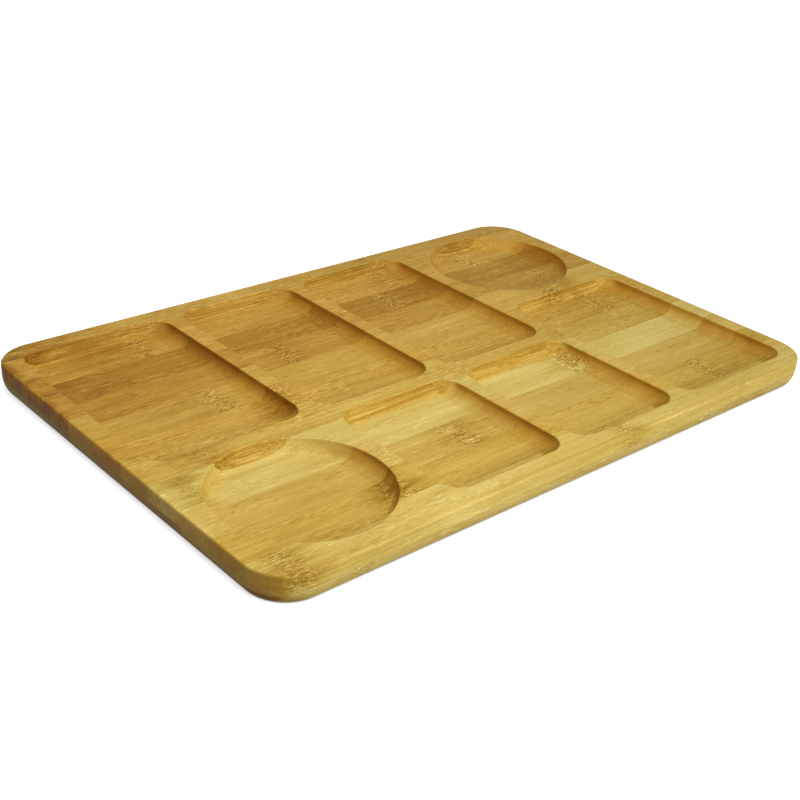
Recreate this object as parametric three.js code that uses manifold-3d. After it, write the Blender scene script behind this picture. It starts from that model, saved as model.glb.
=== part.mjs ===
// Divided bamboo serving tray: two plies of bamboo strips, glued edge to edge and face to face,
// with eight shallow pockets routed into the upper ply.
// Millimetres, +Z up. The origin is the centre of the underside and the strips run along X.

import * as THREE from "three";
import { mergeVertices, toCreasedNormals } from "three/addons/utils/BufferGeometryUtils.js";
import Module from "manifold-3d";

// Pocket layout, seen from above
const RIM = 12; // wood between the outer pockets and the tray's edge
const DIVIDER = 10; // wood between neighbouring pockets
const ROUND_POCKET = 93; // diameter of the round pockets, which sets the end columns and the short row
const MIDDLE_COLUMN = 80; // length along X of each pocket in the two middle columns
const LONG_ROW = 143; // width along Y of each long pocket

// Pocket section
const POCKET_CORNER = 12; // plan radius of a pocket's corners
const POCKET_FLOOR = 1; // thickness of the upper ply that is left under a pocket
const COVE = 6; // radius between a pocket's wall and its floor
const POCKET_EASE = 0.5; // chamfer around a pocket's mouth

// Board section
const UPPER_PLY = 8;
const LOWER_PLY = 8;
const TOP_EASE = 1.2; // round along the upper edge of the tray
const UNDERSIDE_INSET = 4.5; // how far the lower edge of the tray draws in, as a grip for the fingers
const UNDERSIDE_HEIGHT = 10; // how far up the side that rounding reaches

// Bamboo strips
const STRIP_WIDTH = 25.75; // width of the uncut strips, to the nearest whole number of strips
const UPPER_FRONT_STRIP = 22.5; // width left on the front strip of the upper ply
const UPPER_BACK_STRIP = 15.75; // width left on its back strip
const LOWER_FRONT_STRIP = 21; // width left on the front strip of the lower ply
const LOWER_BACK_STRIP = 17.25; // width left on its back strip
const GLUE_LINE = 0.1; // film of glue between neighbouring strips and between the plies

// Smoothness of the curves
const CORNER_STEPS = 5; // per corner arc, which three.js doubles
const CIRCLE_STEPS = 24; // per round pocket, doubled likewise
const COVE_STEPS = 6;
const UNDERSIDE_STEPS = 7;
const EASE_STEPS = 3;
const CREASE_ANGLE = Math.PI / 6;

// Sizes that follow from the ones above
const COLUMNS = [ROUND_POCKET, MIDDLE_COLUMN, MIDDLE_COLUMN, ROUND_POCKET];
const LENGTH = 2 * RIM + 2 * ROUND_POCKET + 2 * MIDDLE_COLUMN + (COLUMNS.length - 1) * DIVIDER;
const WIDTH = 2 * RIM + LONG_ROW + DIVIDER + ROUND_POCKET;
const HEIGHT = LOWER_PLY + GLUE_LINE + UPPER_PLY;
const BOARD_CORNER = RIM + POCKET_CORNER; // concentric with the corner of the pocket behind it
const POCKET_DEPTH = UPPER_PLY - POCKET_FLOOR;
const POCKET_COVE = Math.min(COVE, POCKET_DEPTH - POCKET_EASE);
const OVERRUN = HEIGHT; // how far a cutting shape runs past the tray

// Colours of the strips in the photo, from the front to the back
const STRIP_TONES = [
  "#d4bc64",
  "#c3a048",
  "#c6a550",
  "#d0b664",
  "#bb9641",
  "#be9641",
  "#bc943f",
  "#b2843a",
  "#a87630",
  "#b68c37",
  "#b49144",
];
const ROUGHNESS = 0.5;

const wasm = await Module();
wasm.setup();

function toSolid(geometry) {
  const plain = geometry.clone();
  plain.deleteAttribute("normal");
  plain.deleteAttribute("uv");
  const merged = mergeVertices(plain);
  const mesh = new wasm.Mesh({
    numProp: 3,
    vertProperties: new Float32Array(merged.getAttribute("position").array),
    triVerts: new Uint32Array(merged.index.array),
  });
  return new wasm.Manifold(mesh);
}

function toGeometry(solid) {
  const mesh = solid.getMesh();
  const geometry = new THREE.BufferGeometry();
  geometry.setAttribute("position", new THREE.BufferAttribute(mesh.vertProperties, 3));
  geometry.setIndex(new THREE.BufferAttribute(mesh.triVerts, 1));
  return toCreasedNormals(geometry, CREASE_ANGLE);
}

function roundedRectangle(length, width, corner) {
  const x = length / 2 - corner;
  const y = width / 2 - corner;
  const quarter = Math.PI / 2;
  return new THREE.Shape()
    .absarc(x, y, corner, 0, quarter)
    .absarc(-x, y, corner, quarter, 2 * quarter)
    .absarc(-x, -y, corner, 2 * quarter, 3 * quarter)
    .absarc(x, -y, corner, 3 * quarter, 4 * quarter)
    .closePath();
}

function circle(diameter) {
  return new THREE.Shape().absarc(0, 0, diameter / 2, 0, 2 * Math.PI);
}

// A tray-shaped block whose sides are straight above the rounded underside.
function blockWithRoundUnderside() {
  return new THREE.ExtrudeGeometry(roundedRectangle(LENGTH, WIDTH, BOARD_CORNER), {
    depth: OVERRUN,
    curveSegments: CORNER_STEPS,
    bevelThickness: UNDERSIDE_HEIGHT,
    bevelSize: UNDERSIDE_INSET,
    bevelOffset: -UNDERSIDE_INSET,
    bevelSegments: UNDERSIDE_STEPS,
  }).translate(0, 0, UNDERSIDE_HEIGHT);
}

// The same block with straight sides below the eased upper edge.
function blockWithEasedTop() {
  const depth = HEIGHT + OVERRUN;
  return new THREE.ExtrudeGeometry(roundedRectangle(LENGTH, WIDTH, BOARD_CORNER), {
    depth,
    curveSegments: CORNER_STEPS,
    bevelThickness: TOP_EASE,
    bevelSize: TOP_EASE,
    bevelOffset: -TOP_EASE,
    bevelSegments: EASE_STEPS,
  }).translate(0, 0, HEIGHT - TOP_EASE - depth);
}

// What the router takes out for one pocket: the hollow with its cove, and the chamfer at its mouth.
function pocketCutter({ outline, steps, x, y }) {
  const hollow = new THREE.ExtrudeGeometry(outline, {
    depth: OVERRUN,
    curveSegments: steps,
    bevelThickness: POCKET_COVE,
    bevelSize: POCKET_COVE,
    bevelOffset: -POCKET_COVE,
    bevelSegments: COVE_STEPS,
  }).translate(x, y, HEIGHT - POCKET_DEPTH + POCKET_COVE);
  const mouth = new THREE.ExtrudeGeometry(outline, {
    depth: OVERRUN,
    curveSegments: steps,
    bevelThickness: POCKET_EASE,
    bevelSize: POCKET_EASE,
    bevelSegments: 1,
  }).translate(x, y, HEIGHT);
  return toSolid(hollow).add(toSolid(mouth));
}

function rectangularPocket(x, y, length, width) {
  return { outline: roundedRectangle(length, width, POCKET_CORNER), steps: CORNER_STEPS, x, y };
}

function roundPocket(x, y) {
  return { outline: circle(ROUND_POCKET), steps: CIRCLE_STEPS, x, y };
}

// Long pockets lie at the back of the first three columns and at the front of the last one.
// The pocket beside them is round in the end columns.
function pockets() {
  const found = [];
  let left = -LENGTH / 2 + RIM;
  COLUMNS.forEach((length, column) => {
    const x = left + length / 2;
    const isLast = column === COLUMNS.length - 1;
    const isEnd = column === 0 || isLast;
    const side = isLast ? -1 : 1;
    const longY = side * (WIDTH / 2 - RIM - LONG_ROW / 2);
    const shortY = -side * (WIDTH / 2 - RIM - ROUND_POCKET / 2);
    found.push(rectangularPocket(x, longY, length, LONG_ROW));
    found.push(isEnd ? roundPocket(x, shortY) : rectangularPocket(x, shortY, length, ROUND_POCKET));
    left += length + DIVIDER;
  });
  return found;
}

// Where the joints of one ply lie, from the front edge to the back edge.
function stripEdges(frontStrip, backStrip) {
  const uncut = WIDTH - frontStrip - backStrip;
  const count = Math.round(uncut / STRIP_WIDTH);
  const edges = [-WIDTH / 2];
  for (let i = 0; i <= count; i += 1) {
    edges.push(-WIDTH / 2 + frontStrip + (uncut * i) / count);
  }
  edges.push(WIDTH / 2);
  return edges;
}

// One ply as separate strips, each cut from the shaped board between two glue lines.
function makePly(board, prefix, edges, bottom, top) {
  const ply = new THREE.Group();
  ply.name = prefix + "_ply";
  const last = edges.length - 2;
  for (let i = 0; i <= last; i += 1) {
    const front = i === 0 ? edges[i] - OVERRUN : edges[i] + GLUE_LINE / 2;
    const back = i === last ? edges[i + 1] + OVERRUN : edges[i + 1] - GLUE_LINE / 2;
    const blank = new THREE.BoxGeometry(LENGTH + 2 * OVERRUN, back - front, top - bottom);
    blank.translate(0, (front + back) / 2, (bottom + top) / 2);
    const material = new THREE.MeshStandardMaterial({
      color: STRIP_TONES[i % STRIP_TONES.length],
      roughness: ROUGHNESS,
      metalness: 0,
    });
    const strip = new THREE.Mesh(toGeometry(board.intersect(toSolid(blank))), material);
    strip.name = prefix + "_strip_" + String(i + 1).padStart(2, "0");
    ply.add(strip);
  }
  return ply;
}

function makeTray() {
  let board = toSolid(blockWithRoundUnderside()).intersect(toSolid(blockWithEasedTop()));
  for (const pocket of pockets()) {
    board = board.subtract(pocketCutter(pocket));
  }
  const tray = new THREE.Group();
  tray.name = "divided_serving_tray";
  const lowerEdges = stripEdges(LOWER_FRONT_STRIP, LOWER_BACK_STRIP);
  const upperEdges = stripEdges(UPPER_FRONT_STRIP, UPPER_BACK_STRIP);
  tray.add(makePly(board, "base", lowerEdges, -OVERRUN, LOWER_PLY));
  tray.add(makePly(board, "top", upperEdges, LOWER_PLY + GLUE_LINE, HEIGHT + OVERRUN));
  return tray;
}

export default makeTray();
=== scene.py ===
import math
from typing import NamedTuple

import bmesh
import bpy
from mathutils import Matrix, Vector


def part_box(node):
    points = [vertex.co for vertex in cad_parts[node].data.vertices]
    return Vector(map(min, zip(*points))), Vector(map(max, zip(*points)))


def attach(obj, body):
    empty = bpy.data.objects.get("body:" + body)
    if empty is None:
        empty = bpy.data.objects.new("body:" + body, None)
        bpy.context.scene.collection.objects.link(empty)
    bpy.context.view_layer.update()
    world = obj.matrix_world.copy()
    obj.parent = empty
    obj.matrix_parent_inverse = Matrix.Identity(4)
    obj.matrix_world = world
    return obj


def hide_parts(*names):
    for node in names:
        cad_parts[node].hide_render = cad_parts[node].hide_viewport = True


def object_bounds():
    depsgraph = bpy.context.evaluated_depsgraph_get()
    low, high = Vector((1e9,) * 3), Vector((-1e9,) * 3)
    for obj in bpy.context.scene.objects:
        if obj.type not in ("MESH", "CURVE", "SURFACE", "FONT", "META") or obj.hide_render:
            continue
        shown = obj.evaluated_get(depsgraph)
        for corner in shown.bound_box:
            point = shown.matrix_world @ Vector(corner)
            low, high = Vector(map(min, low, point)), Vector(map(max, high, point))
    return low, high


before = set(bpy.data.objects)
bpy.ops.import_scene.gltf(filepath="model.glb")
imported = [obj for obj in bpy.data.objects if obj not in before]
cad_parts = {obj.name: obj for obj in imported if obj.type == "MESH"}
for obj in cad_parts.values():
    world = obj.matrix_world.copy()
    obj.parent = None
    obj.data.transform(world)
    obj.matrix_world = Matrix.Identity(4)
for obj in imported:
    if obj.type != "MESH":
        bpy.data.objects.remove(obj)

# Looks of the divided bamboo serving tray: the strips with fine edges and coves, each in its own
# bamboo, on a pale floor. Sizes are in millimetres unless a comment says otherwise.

MM = 0.001
CAD_LOW, CAD_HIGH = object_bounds()
AXIS_Y, AXIS_Z = 1, 2

# Tray sizes, as the solids have them
RIM = 12
DIVIDER = 10
ROUND_POCKET = 93
MIDDLE_COLUMN = 80
LONG_ROW = 143
POCKET_CORNER = 12
POCKET_DEPTH = 7
COVE = 6
UNDERSIDE_INSET = 4.5
UNDERSIDE_HEIGHT = 10
LENGTH, WIDTH, HEIGHT = (CAD_HIGH - CAD_LOW) / MM
BOARD_CORNER = RIM + POCKET_CORNER

# Edges as sanded
TOP_EDGE = 1.2
POCKET_EDGE = 0.5

# Smoothness of the curves
CORNER_STEPS = 20
COVE_STEPS = 14
EDGE_STEPS = 4
UNDERSIDE_STEPS = 14
SHARP_ANGLE = math.radians(35)

# Corners of faces that lie closer together than this are one corner
MERGE_REACH = 0.0001

# A strip isn't cut at a side of its box that lies closer than this to the tray's own side
SIDE_REACH = 0.5


class Strip(NamedTuple):
    """The bamboo of one strip.

    tone: levels of red, green and blue, from 0 to 255
    nodes: culm nodes as (place along X, half width, strength of the flecks, depth of the brown around them)
    stretches: other wood as (place along X, half width, depth), browner above 0 and paler below 0; the pale
    stretch of the front strip is a painted highlight
    figure: strength of the fibres
    lean: how much deeper the tone is at the right end than in the middle
    heart: how much deeper the tone is inside the wood than at the top
    """

    tone: tuple
    nodes: tuple
    stretches: tuple = ()
    figure: float = 0.8
    lean: float = 0
    heart: float = 0


# Strips of the upper ply, from the front to the back
UPPER_STRIPS = (
    Strip(
        (205, 176, 88),
        nodes=((-184, 9, 0.9, 0.5), (33, 7, 0.8, 0.3)),
        # The pale stretch at -95 is a painted highlight along the upper front edge
        stretches=((-95, 16, -0.12),),
        figure=0.6,
    ),
    Strip(
        (198, 164, 70),
        nodes=((-104, 8, 1, 0.6), (141, 8, 1.1, 0)),
        stretches=((-160, 26, 0.15), (160, 26, 0.2)),
        figure=0.7,
    ),
    Strip(
        (204, 172, 84),
        nodes=((-90, 5, 0.4, 0), (-35, 11, 0.95, 0.3)),
        stretches=((-200, 2, -0.2), (-142, 18, 0.1)),
        figure=0.6,
        heart=0.06,
    ),
    Strip(
        (209, 183, 97),
        nodes=((-184, 6, 0.6, 0.4), (77, 10, 1.1, 0.25)),
        stretches=((-200, 1.2, -0.3), (-140, 16, -0.12)),
        figure=0.45,
        lean=-0.05,
    ),
    Strip(
        (196, 161, 70),
        nodes=((-165, 9, 0.7, 0.45), (90, 6, 0.5, 0.12)),
        figure=0.85,
    ),
    Strip(
        (197, 158, 65),
        nodes=((-92, 7, 1, 0.15), (159, 9, 1.1, 0)),
        stretches=((-205, 16, 0.3), (-102, 5, 0.5), (150, 14, 0.2)),
        figure=1,
        heart=0.02,
    ),
    Strip(
        (198, 161, 70),
        nodes=((-119, 9, 1.1, 0), (135, 9, 1.1, 0.45)),
        stretches=((-140, 20, 0.25), (151, 8, 0.45)),
        figure=0.6,
        lean=-0.08,
        heart=0.03,
    ),
    Strip(
        (185, 143, 55),
        nodes=((-54, 9, 1.1, 0.25), (164, 7, 1, 0)),
        stretches=((-200, 2, 0.65), (-160, 26, 0.22), (-90, 5, 0.15)),
        figure=1,
        lean=-0.02,
        heart=0.02,
    ),
    Strip(
        (192, 150, 61),
        nodes=((-195, 6, 0.6, 0.25), (46, 8, 1.5, 0)),
        stretches=((-185, 24, 0.38), (0, 4, -0.1), (66, 7, 0.3), (140, 16, -0.3)),
        figure=1.2,
        lean=-0.06,
        heart=0.32,
    ),
    Strip(
        (194, 152, 62),
        nodes=((-119, 9, 1.2, 0), (66, 8, 1.1, 0.25), (137, 9, 1.2, 0)),
        stretches=((-200, 2.5, 0.9), (-140, 18, 0.4), (95, 8, 0.2)),
        figure=0.9,
        lean=-0.1,
        heart=0.03,
    ),
    Strip(
        (192, 153, 65),
        nodes=((-190, 9, 0.5, 0.4), (66, 7, 0.8, 0.1)),
        stretches=((-182, 14, 0.6), (-150, 16, 0.45), (-90, 14, 0.1), (-45, 12, -0.15), (45, 12, 0.15)),
        figure=0.9,
        lean=0.1,
        heart=0.12,
    ),
)

# Strips of the lower ply, from the front to the back
LOWER_STRIPS = (
    Strip(
        (208, 181, 99),
        nodes=((-150, 7, 0.8, 0), (96, 7, 0.7, 0)),
        stretches=((-192, 8, 0.3), (150, 16, 0.15)),
    ),
    Strip((192, 168, 90), nodes=((-20, 7, 0.9, 0),)),
    Strip((202, 177, 99), nodes=((120, 7, 0.8, 0), (-150, 7, 0.7, 0))),
    Strip((157, 129, 57), nodes=((40, 7, 1, 0),)),
    Strip((176, 144, 65), nodes=((-70, 7, 0.9, 0), (170, 6, 0.7, 0))),
    Strip((171, 139, 63), nodes=((85, 7, 0.8, 0),)),
    Strip((175, 153, 72), nodes=((-140, 7, 0.8, 0), (20, 7, 0.9, 0))),
    Strip((154, 131, 54), nodes=((130, 7, 1, 0),)),
    Strip((160, 143, 61), nodes=((-35, 7, 0.8, 0),)),
    Strip((152, 147, 66), nodes=((60, 7, 0.7, 0), (-175, 7, 0.9, 0))),
    Strip((185, 164, 78), nodes=((-95, 7, 0.8, 0),)),
)

# Share of red, green and blue that is left of a tone by one step of depth, by end grain on the tray's own
# ends, and by end grain together with painted shade on pocket walls that face left
DEEPENED = (0.41, 0.29, 0.075)
END_FACE = (0.82, 0.68, 0.54)
END_WALL_GRAIN_AND_SHADE = (0.81, 0.65, 0.4)

# Grain: its sizes along, across and through the strips, and how much each kind deepens the tone
STREAK = (45, 1.1, 1.1)
STREAK_DEPTH = 0.8
SPECK = (1.6, 0.8, 0.8)
SPECK_DEPTH = 0.5
DASH = (6, 1, 1)
QUIET_DEPTH = 0.3
BUSY_DEPTH = 1.5
BUSY_PATCH = (35, 8, 8)
BUSY_LEVELS = (-0.08, 0.14)
DRIFT = (70, 9, 9)
DRIFT_DEPTH = 0.4
BEND = (70, 14, 14)
BEND_REACH = 1.6

# Octaves of noise, in the grain and in what changes slowly
GRAIN_DETAIL = 2
SLOW_DETAIL = 1

# How far the grain of one strip is shifted from that of the strip before it
STRIP_SHIFT = (311, 47, 23)

# End grain: from and up to which slope it sets in, and how much it calms the fibres
END_GRAIN_LEVELS = (0.05, 0.95)
END_GRAIN_CALM = 0.6

# How far below the top the heart of the wood sets in, and is full
HEART_BELOW = (1, 5)

# Fine lines, which show on pocket walls along the fibres and beside the culm nodes
LINE = (70, 0.6, 0.6)
LINE_DEPTH = 1.6
NODE_LINES = 0.45
NODE_LINES_REACH = 4

# The area inside the rim, which fades out on the rim
RIM_FADE = (1, 5)
INSIDE_X = [LENGTH / 2 - RIM + step for step in RIM_FADE]
INSIDE_Y = [WIDTH / 2 - RIM + step for step in RIM_FADE]

# Pocket walls along the fibres, which are a little deeper
SIDE_WALL_DEPTH = 0.1
SIDE_WALL_LEVELS = (0.1, 0.6)

# Painted shade on pocket walls at the right: the steep part under the mouth, which faces away from the light
STEEP_SHADE_DEPTH = 0.18
STEEP_LEVELS = (0.88, 1)

# Painted shade on pocket floors: darker and warmer by the walls at the right, by the tray's front and most
# in the corners there
FOOT_SHADE_DEPTH = 0.13
FOOT_FROM_WALL = 6
FOOT_LEVELS = (1, 5.5)
FOOT_HEIGHT = (2, 5)
FRONT_FOOT_SHADE_DEPTH = 0.14
FRONT_FOOT_FROM_WALL = 5
FRONT_FOOT_LEVELS = (3, 8)
CORNER_SHADE_DEPTH = 0.35

# Painted shade on the lower edge of the tray's own ends, where the rounded edge turns down to the floor
LOWER_EDGE_SHADE_DEPTH = 0.9
LOWER_EDGE_SHADE_LEVELS = (3.4, 5.4)

# Culm nodes: how far they wave along the strip, their flecks, and the brown around them
NODE_WAVE = (60, 5, 5)
NODE_WAVE_REACH = 9
NODE_CORE = 0.4
NODE_FLECK = (3.6, 1.1, 1.1)
FLECK_SWIRL = 1.6
FLECK_LEVELS = (-0.02, 0.14)
FLECK_LIGHT = 0.36
FLECK_DARK = 0.5
BROWN_REACH = 2.5
BROWN_PATCH = (16, 6, 6)
BROWN_LEVELS = (-0.35, 0.2)

# Finish
ROUGHNESS = 0.6
SPECULAR = 0.12
BUMP_STRENGTH = 0.3
BUMP_HEIGHT = 0.08

# Soft lamps, in metres, degrees and watts: name, place, tilt towards the back, width, length, power
LAMPS = (
    ("above", (-0.115, -0.13, 0.56), 0, 0.4, 0.9, 3.15),
    ("front", (0.02, -0.9, 0.24), 75, 0.6, 0.4, 4.4),
)

# Levels of the sky and the floor for light on the tray, and of the floor where it is seen
SKY_LEVEL = 0.22
FLOOR_ALBEDO = 0.4
SEEN_ALBEDO = 0.8
FLOOR_GLOW = 0.72

# Where the floor's glow and the light from it set in, outwards from the tray's outline, and where the glow
# turns full white, from the tray's middle. Near the outline the floor throws no light at the tray, a painted
# shade for the tray's shadow on the floor
GLOW_FROM = (-4.1, -2.4)
BOUNCE_FROM = (-1, 14)
FLOOR_FADE = (300, 800)

# Half the floor's side, and its level a hair below the tray, in metres
FLOOR_REACH = 4
FLOOR_LEVEL = -0.00005

# Camera, fitted to the photo's outline of the tray
IMAGE_SIDE_PX = 800
FOCAL_PX = 1291.2
SENSOR_MM = 36
CAMERA_AZIMUTH = math.radians(-42.70)
CAMERA_ELEVATION = math.radians(27.78)
CAMERA_ROLL = math.radians(3.88)
CAMERA_DISTANCE = 728.7
CAMERA_TARGET = Vector((-24.6, -14.3, 0))


def linear_levels(tone):
    """Red, green and blue of a tone as the linear levels that shaders take, by the sRGB curve."""
    levels = []
    for level in tone:
        share = level / 255
        levels.append(share / 12.92 if share <= 0.04045 else ((share + 0.055) / 1.055) ** 2.4)
    return levels


def quarter(steps):
    """Sine and cosine pairs over a quarter turn."""
    for step in range(steps + 1):
        angle = math.pi / 2 * step / steps
        yield math.sin(angle), math.cos(angle)


def rounded_ring(length, width, corner, inset):
    """Points of a rounded rectangle that is drawn in by inset, anticlockwise from its +X side."""
    points = []
    for turn, (side_x, side_y) in enumerate(((1, 1), (-1, 1), (-1, -1), (1, -1))):
        centre_x = side_x * (length / 2 - corner)
        centre_y = side_y * (width / 2 - corner)
        for step in range(CORNER_STEPS + 1):
            angle = math.pi / 2 * (turn + step / CORNER_STEPS)
            x = centre_x + (corner - inset) * math.cos(angle)
            y = centre_y + (corner - inset) * math.sin(angle)
            points.append((x, y))
    return points


def add_wall(mesh, length, width, corner, profile, x=0, y=0):
    """Adds a wall through rings of (inset, height) and closes its first ring."""
    rings = []
    for inset, height in profile:
        ring = []
        for ring_x, ring_y in rounded_ring(length, width, corner, inset):
            ring.append(mesh.verts.new(((x + ring_x) * MM, (y + ring_y) * MM, height * MM)))
        rings.append(ring)
    count = len(rings[0])
    for lower, upper in zip(rings, rings[1:]):
        for i in range(count):
            j = (i + 1) % count
            mesh.faces.new((lower[i], lower[j], upper[j], upper[i]))
    mesh.faces.new(rings[0])


def side_profile():
    """From the underside up: the rounded lower edge, the straight side and the upper edge."""
    profile = []
    for sine, cosine in quarter(UNDERSIDE_STEPS):
        profile.append((UNDERSIDE_INSET * (1 - sine), UNDERSIDE_HEIGHT * (1 - cosine)))
    for sine, cosine in quarter(EDGE_STEPS):
        profile.append((TOP_EDGE * (1 - cosine), HEIGHT - TOP_EDGE * (1 - sine)))
    return profile


def pocket_profile():
    """From the floor up: the cove, the straight wall and the broken edge of the mouth."""
    floor = HEIGHT - POCKET_DEPTH
    profile = []
    for sine, cosine in quarter(COVE_STEPS):
        profile.append((COVE * (1 - sine), floor + COVE * (1 - cosine)))
    for sine, cosine in quarter(EDGE_STEPS):
        profile.append((-POCKET_EDGE * (1 - cosine), HEIGHT - POCKET_EDGE * (1 - sine)))
    return profile


def pocket_outlines():
    """Length, width, corner radius and centre of each pocket, from the left column to the right."""
    columns = (ROUND_POCKET, MIDDLE_COLUMN, MIDDLE_COLUMN, ROUND_POCKET)
    outlines = []
    left = -LENGTH / 2 + RIM
    for column, length in enumerate(columns):
        x = left + length / 2
        is_last = column == len(columns) - 1
        side = -1 if is_last else 1
        long_y = side * (WIDTH / 2 - RIM - LONG_ROW / 2)
        short_y = -side * (WIDTH / 2 - RIM - ROUND_POCKET / 2)
        short_corner = ROUND_POCKET / 2 if column == 0 or is_last else POCKET_CORNER
        outlines.append((length, LONG_ROW, POCKET_CORNER, x, long_y))
        outlines.append((length, ROUND_POCKET, short_corner, x, short_y))
        left += length + DIVIDER
    return outlines


def carved_board():
    """The whole tray as one surface, before it is parted into strips."""
    mesh = bmesh.new()
    add_wall(mesh, LENGTH, WIDTH, BOARD_CORNER, side_profile())
    for length, width, corner, x, y in pocket_outlines():
        add_wall(mesh, length, width, corner, pocket_profile(), x, y)
    bmesh.ops.remove_doubles(mesh, verts=mesh.verts, dist=MERGE_REACH * MM)
    rim_edges = [edge for edge in mesh.edges if edge.is_boundary]
    bmesh.ops.triangle_fill(mesh, edges=rim_edges, use_beauty=True, normal=(0, 0, 1))
    bmesh.ops.recalc_face_normals(mesh, faces=mesh.faces)
    return mesh


def slice_off(mesh, axis, place, keep_above):
    """Cuts a closed mesh at a plane across an axis, keeps one side and closes it again."""
    normal = [0, 0, 0]
    normal[axis] = 1
    point = [0, 0, 0]
    point[axis] = place
    geometry = mesh.verts[:] + mesh.edges[:] + mesh.faces[:]
    bmesh.ops.bisect_plane(
        mesh,
        geom=geometry,
        plane_co=point,
        plane_no=normal,
        clear_inner=keep_above,
        clear_outer=not keep_above,
    )
    open_edges = [edge for edge in mesh.edges if edge.is_boundary]
    bmesh.ops.triangle_fill(mesh, edges=open_edges, use_beauty=True, normal=normal)
    bmesh.ops.recalc_face_normals(mesh, faces=mesh.faces)


def strip_mesh(board, low, high):
    """The part of the board inside one strip's box, cut only where the box lies inside the tray."""
    mesh = board.copy()
    for axis in (AXIS_Z, AXIS_Y):
        if low[axis] - CAD_LOW[axis] > SIDE_REACH * MM:
            slice_off(mesh, axis, low[axis], keep_above=True)
        if CAD_HIGH[axis] - high[axis] > SIDE_REACH * MM:
            slice_off(mesh, axis, high[axis], keep_above=False)
    return mesh


def add_piece(name, mesh):
    """A smooth-shaded object from a mesh, whose flat faces keep their flat shading."""
    data = bpy.data.meshes.new(name)
    mesh.to_mesh(data)
    mesh.free()
    data.shade_smooth()
    data.set_sharp_from_angle(angle=SHARP_ANGLE)
    piece = bpy.data.objects.new(name, data)
    bpy.context.scene.collection.objects.link(piece)
    weighted = piece.modifiers.new("flat_faces", "WEIGHTED_NORMAL")
    weighted.keep_sharp = True
    return piece


class Graph:
    """Short calls for the nodes of one material or world."""

    def __init__(self, owner):
        owner.use_nodes = True
        self.nodes = owner.node_tree.nodes
        self.links = owner.node_tree.links

    def put(self, socket, value):
        """Links a socket to another node's output, or sets its value."""
        if isinstance(value, bpy.types.NodeSocket):
            self.links.new(value, socket)
        else:
            socket.default_value = value

    def math(self, operation, first, second=0.0, third=0.0):
        node = self.nodes.new("ShaderNodeMath")
        node.operation = operation
        for socket, value in zip(node.inputs, (first, second, third)):
            self.put(socket, value)
        return node.outputs[0]

    def joined(self, operation, values):
        """All the values, joined one after the other by the same operation."""
        result = values[0]
        for value in values[1:]:
            result = self.math(operation, result, value)
        return result

    def total(self, *values):
        return self.joined("ADD", values)

    def product(self, *values):
        return self.joined("MULTIPLY", values)

    def opposite(self, share):
        """What a share leaves of 1."""
        return self.math("SUBTRACT", 1.0, share)

    def vector(self, operation, first, second=(0, 0, 0)):
        node = self.nodes.new("ShaderNodeVectorMath")
        node.operation = operation
        self.put(node.inputs[0], first)
        self.put(node.inputs[1], second)
        return node.outputs[0]

    def length(self, vector):
        node = self.nodes.new("ShaderNodeVectorMath")
        node.operation = "LENGTH"
        self.put(node.inputs[0], vector)
        return node.outputs["Value"]

    def split(self, point):
        node = self.nodes.new("ShaderNodeSeparateXYZ")
        self.put(node.inputs[0], point)
        return node.outputs

    def noise(self, point, grain, detail=GRAIN_DETAIL, distortion=0.0):
        """Noise around 0, between -0.5 and 0.5, in grains of this size."""
        node = self.nodes.new("ShaderNodeTexNoise")
        self.put(node.inputs["Vector"], self.vector("DIVIDE", point, grain))
        node.inputs["Scale"].default_value = 1
        node.inputs["Detail"].default_value = detail
        node.inputs["Distortion"].default_value = distortion
        return self.math("SUBTRACT", node.outputs["Fac"], 0.5)

    def rise(self, value, low, high):
        """0 below low, 1 above high, and smooth between them."""
        node = self.nodes.new("ShaderNodeMapRange")
        node.interpolation_type = "SMOOTHSTEP"
        self.put(node.inputs["Value"], value)
        node.inputs["From Min"].default_value = low
        node.inputs["From Max"].default_value = high
        return node.outputs["Result"]

    def near(self, value, centre, low, high):
        """1 within low of the centre, 0 beyond high, and smooth between them."""
        away = self.math("ABSOLUTE", self.math("SUBTRACT", value, centre))
        return self.opposite(self.rise(away, low, high))


def bent(graph, point):
    """The point moved so that fibres along X get a slight bend."""
    bend = graph.noise(point, BEND, SLOW_DETAIL)
    sway = graph.nodes.new("ShaderNodeCombineXYZ")
    graph.put(sway.inputs["Y"], graph.product(bend, BEND_REACH))
    graph.put(sway.inputs["Z"], graph.product(bend, -BEND_REACH))
    return graph.vector("ADD", point, sway.outputs[0])


def fibre_depth(graph, point, fibre):
    """Fibres as streaks, specks and patches of dashes."""
    streak = graph.product(graph.noise(fibre, STREAK), STREAK_DEPTH)
    speck = graph.product(graph.noise(fibre, SPECK), SPECK_DEPTH)
    busy = graph.rise(graph.noise(point, BUSY_PATCH), *BUSY_LEVELS)
    contrast = graph.math("MULTIPLY_ADD", busy, BUSY_DEPTH - QUIET_DEPTH, QUIET_DEPTH)
    dash = graph.product(graph.noise(fibre, DASH), contrast)
    return graph.total(streak, speck, dash)


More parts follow.
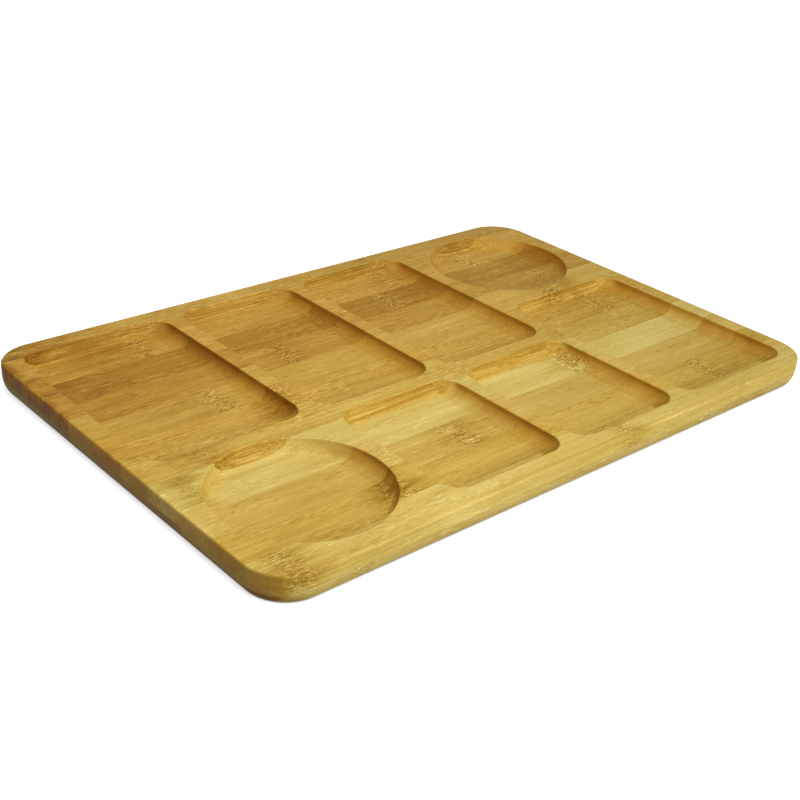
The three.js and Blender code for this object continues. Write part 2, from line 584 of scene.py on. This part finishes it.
def node_depth(graph, point, x, lines, strip):
    """Flecks and fine lines where culm nodes cross the strip, and its browner and paler stretches."""
    wave = graph.product(graph.noise(point, NODE_WAVE), NODE_WAVE_REACH)
    waved = graph.total(x, wave)
    fleck = graph.noise(point, NODE_FLECK, distortion=FLECK_SWIRL)
    light = graph.product(graph.rise(fleck, *FLECK_LEVELS), -FLECK_LIGHT)
    hollow = graph.rise(graph.product(fleck, -1.0), *FLECK_LEVELS)
    flecks = graph.math("MULTIPLY_ADD", hollow, FLECK_DARK, light)
    patches = graph.rise(graph.noise(point, BROWN_PATCH), *BROWN_LEVELS)
    layers = []
    stretches = list(strip.stretches)
    for centre, half_width, strength, brown in strip.nodes:
        core = graph.near(waved, centre, NODE_CORE * half_width, half_width)
        beside = graph.near(waved, centre, half_width, NODE_LINES_REACH * half_width)
        marks = graph.total(graph.product(core, flecks), graph.product(beside, lines))
        layers.append(graph.product(marks, strength))
        if brown:
            stretches.append((centre, half_width, brown))
    for centre, half_width, depth in stretches:
        around = graph.near(waved, centre, 0, BROWN_REACH * half_width)
        layers.append(graph.product(around, patches, depth))
    return graph.total(*layers)


def foot_shade_depth(graph, x, y, z, in_rim):
    """Painted shade on pocket floors by the walls at the right and by the tray's front, most of all in the
    corners.
    """
    feet = set()
    for length, _, _, centre, _ in pocket_outlines():
        feet.add(centre + length / 2 - FOOT_FROM_WALL)
    at_right = graph.total(*[graph.near(x, foot, *FOOT_LEVELS) for foot in sorted(feet)])
    at_front = graph.near(y, RIM - WIDTH / 2 + FRONT_FOOT_FROM_WALL, *FRONT_FOOT_LEVELS)
    front_depth = graph.math("MULTIPLY_ADD", at_right, CORNER_SHADE_DEPTH, FRONT_FOOT_SHADE_DEPTH)
    depth = graph.math("MULTIPLY_ADD", at_right, FOOT_SHADE_DEPTH, graph.product(at_front, front_depth))
    on_floor = graph.near(z, HEIGHT - POCKET_DEPTH, *FOOT_HEIGHT)
    return graph.product(depth, on_floor, in_rim)


def bamboo_material(name, strip, number):
    """Bamboo as a solid texture, in which a greater depth is a darker and warmer tone."""
    material = bpy.data.materials.new(name)
    graph = Graph(material)
    shader = graph.nodes["Principled BSDF"]
    coordinates = graph.nodes.new("ShaderNodeTexCoord")
    place = graph.vector("DIVIDE", coordinates.outputs["Object"], (MM, MM, MM))
    point = graph.vector("ADD", place, [step * number for step in STRIP_SHIFT])
    x, y, z = graph.split(place)
    inside_x = graph.near(x, 0, *INSIDE_X)
    inside_y = graph.near(y, 0, *INSIDE_Y)

    # End grain, walls along the fibres, and walls that face left without turning to the front, which get
    # painted shade besides their end grain
    normal_x, normal_y, _ = graph.split(coordinates.outputs["Normal"])
    end_grain = graph.rise(graph.math("ABSOLUTE", normal_x), *END_GRAIN_LEVELS)
    end_face = graph.product(end_grain, graph.opposite(inside_x))
    # painted shade along the lower edge of the tray's ends
    lower_edge_shade = graph.product(end_face, graph.near(z, 0, *LOWER_EDGE_SHADE_LEVELS))
    along_fibres = graph.rise(graph.math("ABSOLUTE", normal_y), *SIDE_WALL_LEVELS)
    side_wall = graph.product(along_fibres, graph.opposite(end_grain), inside_y)
    to_left = graph.product(normal_x, -1.0)
    to_front = graph.rise(graph.product(normal_y, -1.0), *SIDE_WALL_LEVELS)
    not_front = graph.product(inside_x, graph.opposite(to_front))
    # end grain and painted shade, only on walls that face left
    wall_grain_and_shade = graph.product(not_front, graph.rise(to_left, *END_GRAIN_LEVELS))
    # painted shade on the steep part of walls that face left
    steep_shade = graph.product(not_front, graph.rise(to_left, *STEEP_LEVELS))

    # Depth of the tone
    fibre = bent(graph, point)
    calm = graph.math("MULTIPLY_ADD", end_grain, -END_GRAIN_CALM, 1.0)
    fibres = graph.product(fibre_depth(graph, point, fibre), calm, strip.figure)
    lines = graph.product(graph.noise(fibre, LINE), calm, LINE_DEPTH)
    layers = [
        fibres,
        graph.product(graph.noise(point, DRIFT, SLOW_DETAIL), DRIFT_DEPTH),
        graph.product(side_wall, graph.total(lines, SIDE_WALL_DEPTH)),
        graph.product(steep_shade, STEEP_SHADE_DEPTH),
        graph.product(lower_edge_shade, LOWER_EDGE_SHADE_DEPTH),
        # painted shade on the pocket floors by the walls and the front
        foot_shade_depth(graph, x, y, z, graph.product(inside_x, inside_y)),
        node_depth(graph, point, x, graph.product(lines, NODE_LINES), strip),
    ]
    if strip.lean:
        layers.append(graph.product(x, 2 * strip.lean / LENGTH))
    if strip.heart:
        below = graph.rise(graph.math("SUBTRACT", HEIGHT, z), *HEART_BELOW)
        layers.append(graph.product(below, strip.heart))
    depth = graph.total(*layers)

    # Colour and finish
    colour = graph.nodes.new("ShaderNodeCombineColor")
    channels = zip(colour.inputs, linear_levels(strip.tone), DEEPENED, END_FACE, END_WALL_GRAIN_AND_SHADE)
    for socket, level, deepened, face, wall in channels:
        deep = graph.math("POWER", deepened, depth)
        on_face = graph.math("POWER", face, end_face)
        on_wall = graph.math("POWER", wall, wall_grain_and_shade)
        graph.put(socket, graph.product(deep, level, on_face, on_wall))
    graph.put(shader.inputs["Base Color"], colour.outputs[0])
    shader.inputs["Roughness"].default_value = ROUGHNESS
    shader.inputs["Specular IOR Level"].default_value = SPECULAR
    bump = graph.nodes.new("ShaderNodeBump")
    bump.inputs["Strength"].default_value = BUMP_STRENGTH
    bump.inputs["Distance"].default_value = BUMP_HEIGHT * MM
    graph.put(bump.inputs["Height"], fibres)
    graph.put(shader.inputs["Normal"], bump.outputs[0])
    return material


def add_strips():
    """All strips of both plies, each in its own bamboo."""
    board = carved_board()
    number = 0
    for ply, strips in (("base", LOWER_STRIPS), ("top", UPPER_STRIPS)):
        for count, strip in enumerate(strips, start=1):
            node = f"{ply}_strip_{count:02}"
            low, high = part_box(node)
            piece = add_piece(node + ".wood", strip_mesh(board, low, high))
            piece.data.materials.append(bamboo_material(piece.name, strip, number))
            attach(piece, "root")
            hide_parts(node)
            number += 1
    board.free()


def seen(graph):
    """1 for rays from the camera or from a mirror or glass, 0 for rays that light the scene."""
    path = graph.nodes.new("ShaderNodeLightPath")
    names = ("Is Camera Ray", "Is Glossy Ray", "Is Transmission Ray")
    shares = graph.total(*[path.outputs[name] for name in names])
    return graph.math("MINIMUM", shares, 1.0)


def floor_material():
    """A pale floor that reads white, keeps the tray's shadow and is dark close under the tray's edge, with
    painted shade in the light it throws back near the tray.
    """
    material = bpy.data.materials.new("floor")
    graph = Graph(material)
    shader = graph.nodes["Principled BSDF"]
    in_view = seen(graph)
    coordinates = graph.nodes.new("ShaderNodeTexCoord")
    place = graph.vector("DIVIDE", coordinates.outputs["Object"], (MM, MM, MM))
    core = (LENGTH / 2 - BOARD_CORNER, WIDTH / 2 - BOARD_CORNER, 0)
    past_core = graph.vector("MAXIMUM", graph.vector("SUBTRACT", graph.vector("ABSOLUTE", place), core))
    outside = graph.math("SUBTRACT", graph.length(past_core), BOARD_CORNER)
    # Painted shade: the floor's light on the tray fades out towards the tray's outline
    lit_albedo = graph.product(graph.rise(outside, *BOUNCE_FROM), FLOOR_ALBEDO)
    unseen_albedo = graph.product(graph.opposite(in_view), lit_albedo)
    graph.put(shader.inputs["Base Color"], graph.math("MULTIPLY_ADD", in_view, SEEN_ALBEDO, unseen_albedo))
    shader.inputs["Roughness"].default_value = 1
    shader.inputs["Specular IOR Level"].default_value = 0
    shader.inputs["Emission Color"].default_value = (1, 1, 1, 1)
    fade = graph.rise(graph.length(place), *FLOOR_FADE)
    glow = graph.math("MULTIPLY_ADD", fade, 1 - FLOOR_GLOW, FLOOR_GLOW)
    open_glow = graph.product(graph.rise(outside, *GLOW_FROM), glow, in_view)
    graph.put(shader.inputs["Emission Strength"], open_glow)
    return material


def add_floor():
    mesh = bmesh.new()
    bmesh.ops.create_grid(mesh, x_segments=1, y_segments=1, size=FLOOR_REACH)
    data = bpy.data.meshes.new("floor")
    mesh.to_mesh(data)
    mesh.free()
    data.materials.append(floor_material())
    floor = bpy.data.objects.new("floor", data)
    floor.location.z = FLOOR_LEVEL
    bpy.context.scene.collection.objects.link(floor)


def add_light():
    """A dim white studio with a long soft lamp above the tray and a low one in front of it."""
    world = bpy.data.worlds.new("studio")
    bpy.context.scene.world = world
    graph = Graph(world)
    background = graph.nodes["Background"]
    background.inputs["Color"].default_value = (1, 1, 1, 1)
    level = graph.math("MULTIPLY_ADD", seen(graph), 1 - SKY_LEVEL, SKY_LEVEL)
    graph.put(background.inputs["Strength"], level)
    for name, place, tilt, width, length, power in LAMPS:
        data = bpy.data.lights.new(name, "AREA")
        data.shape = "RECTANGLE"
        data.size = width
        data.size_y = length
        data.energy = power
        lamp = bpy.data.objects.new(name, data)
        lamp.location = place
        lamp.rotation_euler.x = math.radians(tilt)
        lamp.visible_camera = False
        bpy.context.scene.collection.objects.link(lamp)


def add_camera():
    """The photo's camera, which looks at its target from the front left and above."""
    data = bpy.data.cameras.new("camera")
    data.sensor_width = SENSOR_MM
    data.lens = FOCAL_PX / IMAGE_SIDE_PX * SENSOR_MM
    camera = bpy.data.objects.new("camera", data)
    bpy.context.scene.collection.objects.link(camera)
    level = math.cos(CAMERA_ELEVATION)
    back = Vector((
        math.sin(CAMERA_AZIMUTH) * level,
        -math.cos(CAMERA_AZIMUTH) * level,
        math.sin(CAMERA_ELEVATION),
    ))
    turn = back.to_track_quat("Z", "Y").to_matrix().to_4x4() @ Matrix.Rotation(CAMERA_ROLL, 4, "Z")
    place = Matrix.Translation((CAMERA_TARGET + back * CAMERA_DISTANCE) * MM)
    camera.matrix_world = place @ turn
    bpy.context.scene.camera = camera


add_strips()
add_floor()
add_light()
add_camera()
bpy.context.scene.view_settings.view_transform = "Standard"
